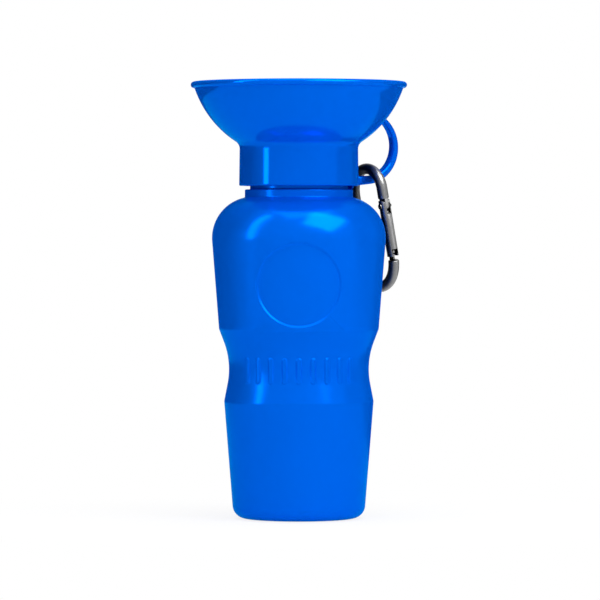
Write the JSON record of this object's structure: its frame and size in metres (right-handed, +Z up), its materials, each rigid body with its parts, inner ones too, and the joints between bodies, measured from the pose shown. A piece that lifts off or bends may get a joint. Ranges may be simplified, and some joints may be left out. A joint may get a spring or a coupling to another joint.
{
  "type": "dog travel water bottle",
  "caption": "Squeeze bottle whose screw-on lid is a drinking bowl: lifting the bowl off its plug lets water rise into it and drain back. A sprung carabiner hangs it from a bag.",
  "frame": {"origin": "on the bottle's axis, at the surface that it stands on", "axes": "+Z up along the bottle's axis, +X to the right and -Y towards a viewer who sees the front panel, with the loop and carabiner at the right and turned to the back"},
  "size_m": [0.108, 0.108, 0.218],
  "materials": {
    "blue_plastic": "glossy blown polyethylene",
    "blue_lid_plastic": "glossy moulded polypropylene",
    "white_plastic": "satin moulded plastic",
    "clear_tube": "milky extruded tube",
    "black_rubber": "smooth seal rubber",
    "silicone": "translucent white silicone",
    "grey_metal": "satin dark grey anodised",
    "pin_metal": "plain rivet steel",
    "spring_steel": "drawn wire"
  },
  "bodies": {
    "bottle": {"bottle": "blue_plastic", "bottle_neck": "blue_plastic", "valve_stem": "white_plastic", "dip_tube": "clear_tube", "plug_ring": "black_rubber"},
    "lid_seals": {"spigot_ring": "black_rubber", "lid_gasket": "silicone"},
    "bowl_lid": {"bowl_lid": "blue_lid_plastic"},
    "carabiner": {"carabiner_body": "grey_metal", "gate_pin": "pin_metal", "latch_pin": "pin_metal"},
    "gate": {"carabiner_gate": "grey_metal", "gate_spring": "spring_steel", "gate_plunger": "pin_metal"}
  },
  "joints": [
    {"name": "lid_lift", "type": "slide", "parent": "bottle", "child": "lid_seals", "axis": [0, 0, 1], "range_m": [0, 0.006]},
    {"name": "lid_turn", "type": "hinge", "parent": "lid_seals", "child": "bowl_lid", "pos_m": [0, 0, 0.18], "axis": [0, 0, 1], "range_deg": [0, 430]},
    {"name": "carabiner_swing", "type": "hinge", "parent": "bowl_lid", "child": "carabiner", "pos_m": [0.03429, 0.0198, 0.17478], "axis": [0.5878, -0.809, 0], "range_deg": [0, 90]},
    {"name": "gate_open", "type": "hinge", "parent": "carabiner", "child": "gate", "pos_m": [0.04318, 0.01414, 0.15618], "axis": [0.7921, 0.5755, 0.2032], "range_deg": [0, 35], "stiffness_Nm_per_rad": 0.05, "springref_deg": -28.65}
  ],
  "couplings": [
    {"joint": "lid_lift", "follows": "lid_turn", "m_per_rad": 0.00079577}
  ]
}
